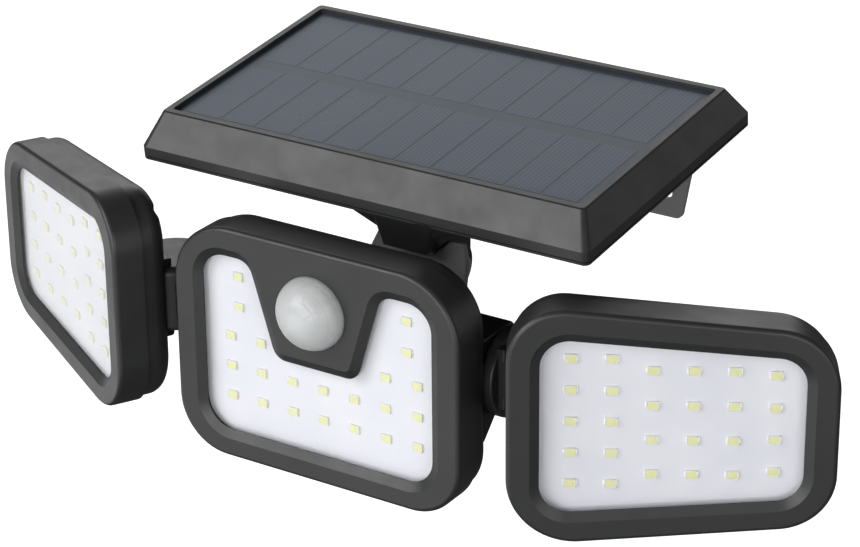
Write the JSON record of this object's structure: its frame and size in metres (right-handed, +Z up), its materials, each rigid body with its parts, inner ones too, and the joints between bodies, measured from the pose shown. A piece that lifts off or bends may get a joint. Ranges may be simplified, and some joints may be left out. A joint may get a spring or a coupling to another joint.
{
  "type": "motion sensor security light",
  "caption": "Wall-mounted solar security light: a tilted solar panel over a middle lamp head with a motion sensor dome and side heads that tilt and swing.",
  "frame": {"origin": "centre of the back face of the wall plate", "axes": "+Z up, -Y away from the wall (the lamps face -Y), +X to the right of someone facing the lamp"},
  "size_m": [0.3063, 0.1417, 0.1062],
  "materials": {
    "dark_plastic": "fine matte moulded grain, dark grey",
    "bracket_plastic": "fine matte moulded grain, mid grey",
    "pin_plastic": "satin black",
    "inner_plastic": "matte black",
    "clear_lens": "clear gloss",
    "white_board": "white solder mask, satin",
    "led_phosphor": "yellow phosphor in white body",
    "milky_dome": "milky translucent, faceted",
    "sensor_can": "satin",
    "seal_rubber": "matte",
    "zinc_screw": "zinc plated",
    "solar_cell": "slate blue cells under satin film",
    "cell_wrap": "gloss shrink sleeve",
    "circuit_board": "green solder mask"
  },
  "bodies": {
    "wall_bracket": {"wall_plate": "bracket_plastic", "lamp_bolt": "zinc_screw", "lamp_nut": "zinc_screw", "lamp_washers": "zinc_screw"},
    "panel_housing": {"panel_frame": "dark_plastic", "solar_cells": "solar_cell", "back_shell": "dark_plastic", "panel_screws": "zinc_screw", "panel_seal": "seal_rubber", "battery_cell": "cell_wrap", "battery_cradle": "inner_plastic", "charge_board": "circuit_board", "button_switch": "inner_plastic", "neck_bolt": "zinc_screw", "neck_nut": "zinc_screw"},
    "power_button": {"push_button": "seal_rubber"},
    "middle_head": {"middle_front_frame": "dark_plastic", "middle_lens": "clear_lens", "middle_led_board": "white_board", "middle_leds": "led_phosphor", "middle_seal": "seal_rubber", "middle_rear_cover": "dark_plastic", "middle_screws": "zinc_screw", "sensor_dome": "milky_dome", "motion_sensor": "sensor_can", "pivot_bar": "dark_plastic", "bar_screws": "zinc_screw", "neck_bracket": "bracket_plastic", "neck_screws": "zinc_screw"},
    "right_arm": {"right_knuckle": "pin_plastic", "right_retaining_clip": "zinc_screw"},
    "right_head": {"right_front_frame": "dark_plastic", "right_lens": "clear_lens", "right_led_board": "white_board", "right_leds": "led_phosphor", "right_seal": "seal_rubber", "right_rear_cover": "dark_plastic", "right_screws": "zinc_screw", "right_hinge_pin": "pin_plastic"},
    "left_arm": {"left_knuckle": "pin_plastic", "left_retaining_clip": "zinc_screw"},
    "left_head": {"left_front_frame": "dark_plastic", "left_lens": "clear_lens", "left_led_board": "white_board", "left_leds": "led_phosphor", "left_seal": "seal_rubber", "left_rear_cover": "dark_plastic", "left_screws": "zinc_screw", "left_hinge_pin": "pin_plastic"}
  },
  "joints": [
    {"name": "lamp_tilt", "type": "hinge", "parent": "wall_bracket", "child": "panel_housing", "pos_m": [0, -0.028, -0.003], "axis": [1, 0, 0], "range_deg": [-8, 40]},
    {"name": "neck_tilt", "type": "hinge", "parent": "panel_housing", "child": "middle_head", "pos_m": [0, -0.064, -0.0265], "axis": [1, 0, 0], "range_deg": [-4, 45]},
    {"name": "right_arm_tilt", "type": "hinge", "parent": "middle_head", "child": "right_arm", "pos_m": [0.0495, -0.1026, -0.0358], "axis": [1, 0, 0], "range_deg": [-10, 60]},
    {"name": "right_head_swing", "type": "hinge", "parent": "right_arm", "child": "right_head", "pos_m": [0.0705, -0.108, -0.0338], "axis": [0, 0, 1], "range_deg": [-25, 45]},
    {"name": "left_arm_tilt", "type": "hinge", "parent": "middle_head", "child": "left_arm", "pos_m": [-0.0495, -0.1026, -0.0358], "axis": [1, 0, 0], "range_deg": [-10, 60]},
    {"name": "left_head_swing", "type": "hinge", "parent": "left_arm", "child": "left_head", "pos_m": [-0.0705, -0.108, -0.0338], "axis": [0, 0, -1], "range_deg": [-25, 45]},
    {"name": "button_press", "type": "slide", "parent": "panel_housing", "child": "power_button", "axis": [0, 0, 1], "range_m": [0, 0.0012], "stiffness_N_per_m": 700, "springref_m": -0.0008}
  ]
}
